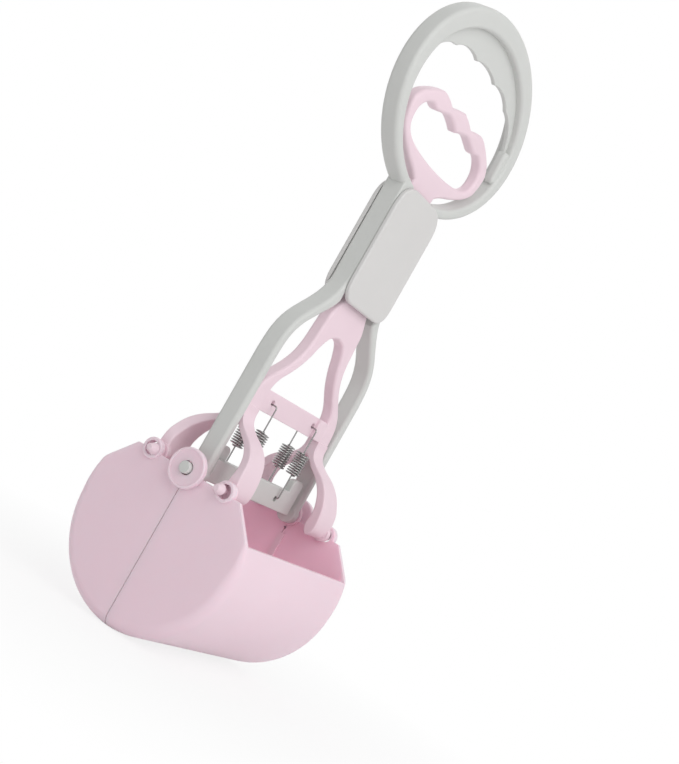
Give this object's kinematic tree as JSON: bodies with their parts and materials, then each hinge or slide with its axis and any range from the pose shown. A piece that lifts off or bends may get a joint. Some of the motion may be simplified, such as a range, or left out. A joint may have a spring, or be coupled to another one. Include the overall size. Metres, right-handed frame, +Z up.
{
  "type": "pooper scooper",
  "caption": "Hand-held waste scooper: an oval ring grip with a pull trigger inside, on a two-armed frame whose sprung trigger opens two hinged bucket halves.",
  "frame": {"origin": "middle of the object's bounding box at its lowest point, under the bucket's seam", "axes": "+Z up along the handle, Y along the bucket's pivot axis, +X the way the right-hand bucket half opens"},
  "size_m": [0.075, 0.11, 0.2695],
  "materials": {
    "frame_plastic": "satin moulded plastic, light warm grey",
    "cover_plastic": "satin moulded plastic, light warm grey",
    "trigger_plastic": "satin moulded plastic, pale pink",
    "jaw_plastic": "satin moulded plastic, pale pink",
    "spring_steel": "bright spring wire"
  },
  "bodies": {
    "frame": {"frame": "frame_plastic", "cover_front": "cover_plastic", "cover_back": "cover_plastic", "spring_front_near": "spring_steel", "spring_front_far": "spring_steel", "spring_back_near": "spring_steel", "spring_back_far": "spring_steel"},
    "trigger": {"trigger": "trigger_plastic"},
    "jaw_left": {"jaw_left": "jaw_plastic"},
    "jaw_right": {"jaw_right": "jaw_plastic"}
  },
  "joints": [
    {"name": "trigger_slide", "type": "slide", "parent": "frame", "child": "trigger", "axis": [0, 0, 1], "range_m": [0, 0.0098], "stiffness_N_per_m": 800, "springref_m": -0.006, "deforming": ["spring_front_near", "spring_front_far", "spring_back_near", "spring_back_far"]},
    {"name": "jaw_left_hinge", "type": "hinge", "parent": "frame", "child": "jaw_left", "pos_m": [0, 0, 0.063], "axis": [0, 1, 0], "range_deg": [0, 34]},
    {"name": "jaw_right_hinge", "type": "hinge", "parent": "frame", "child": "jaw_right", "pos_m": [0, 0, 0.063], "axis": [0, 1, 0], "range_deg": [-34, 0]}
  ],
  "couplings": [
    {"joint": "jaw_left_hinge", "follows": "trigger_slide", "rad_per_m": 60.55},
    {"joint": "jaw_right_hinge", "follows": "trigger_slide", "rad_per_m": -60.55}
  ]
}
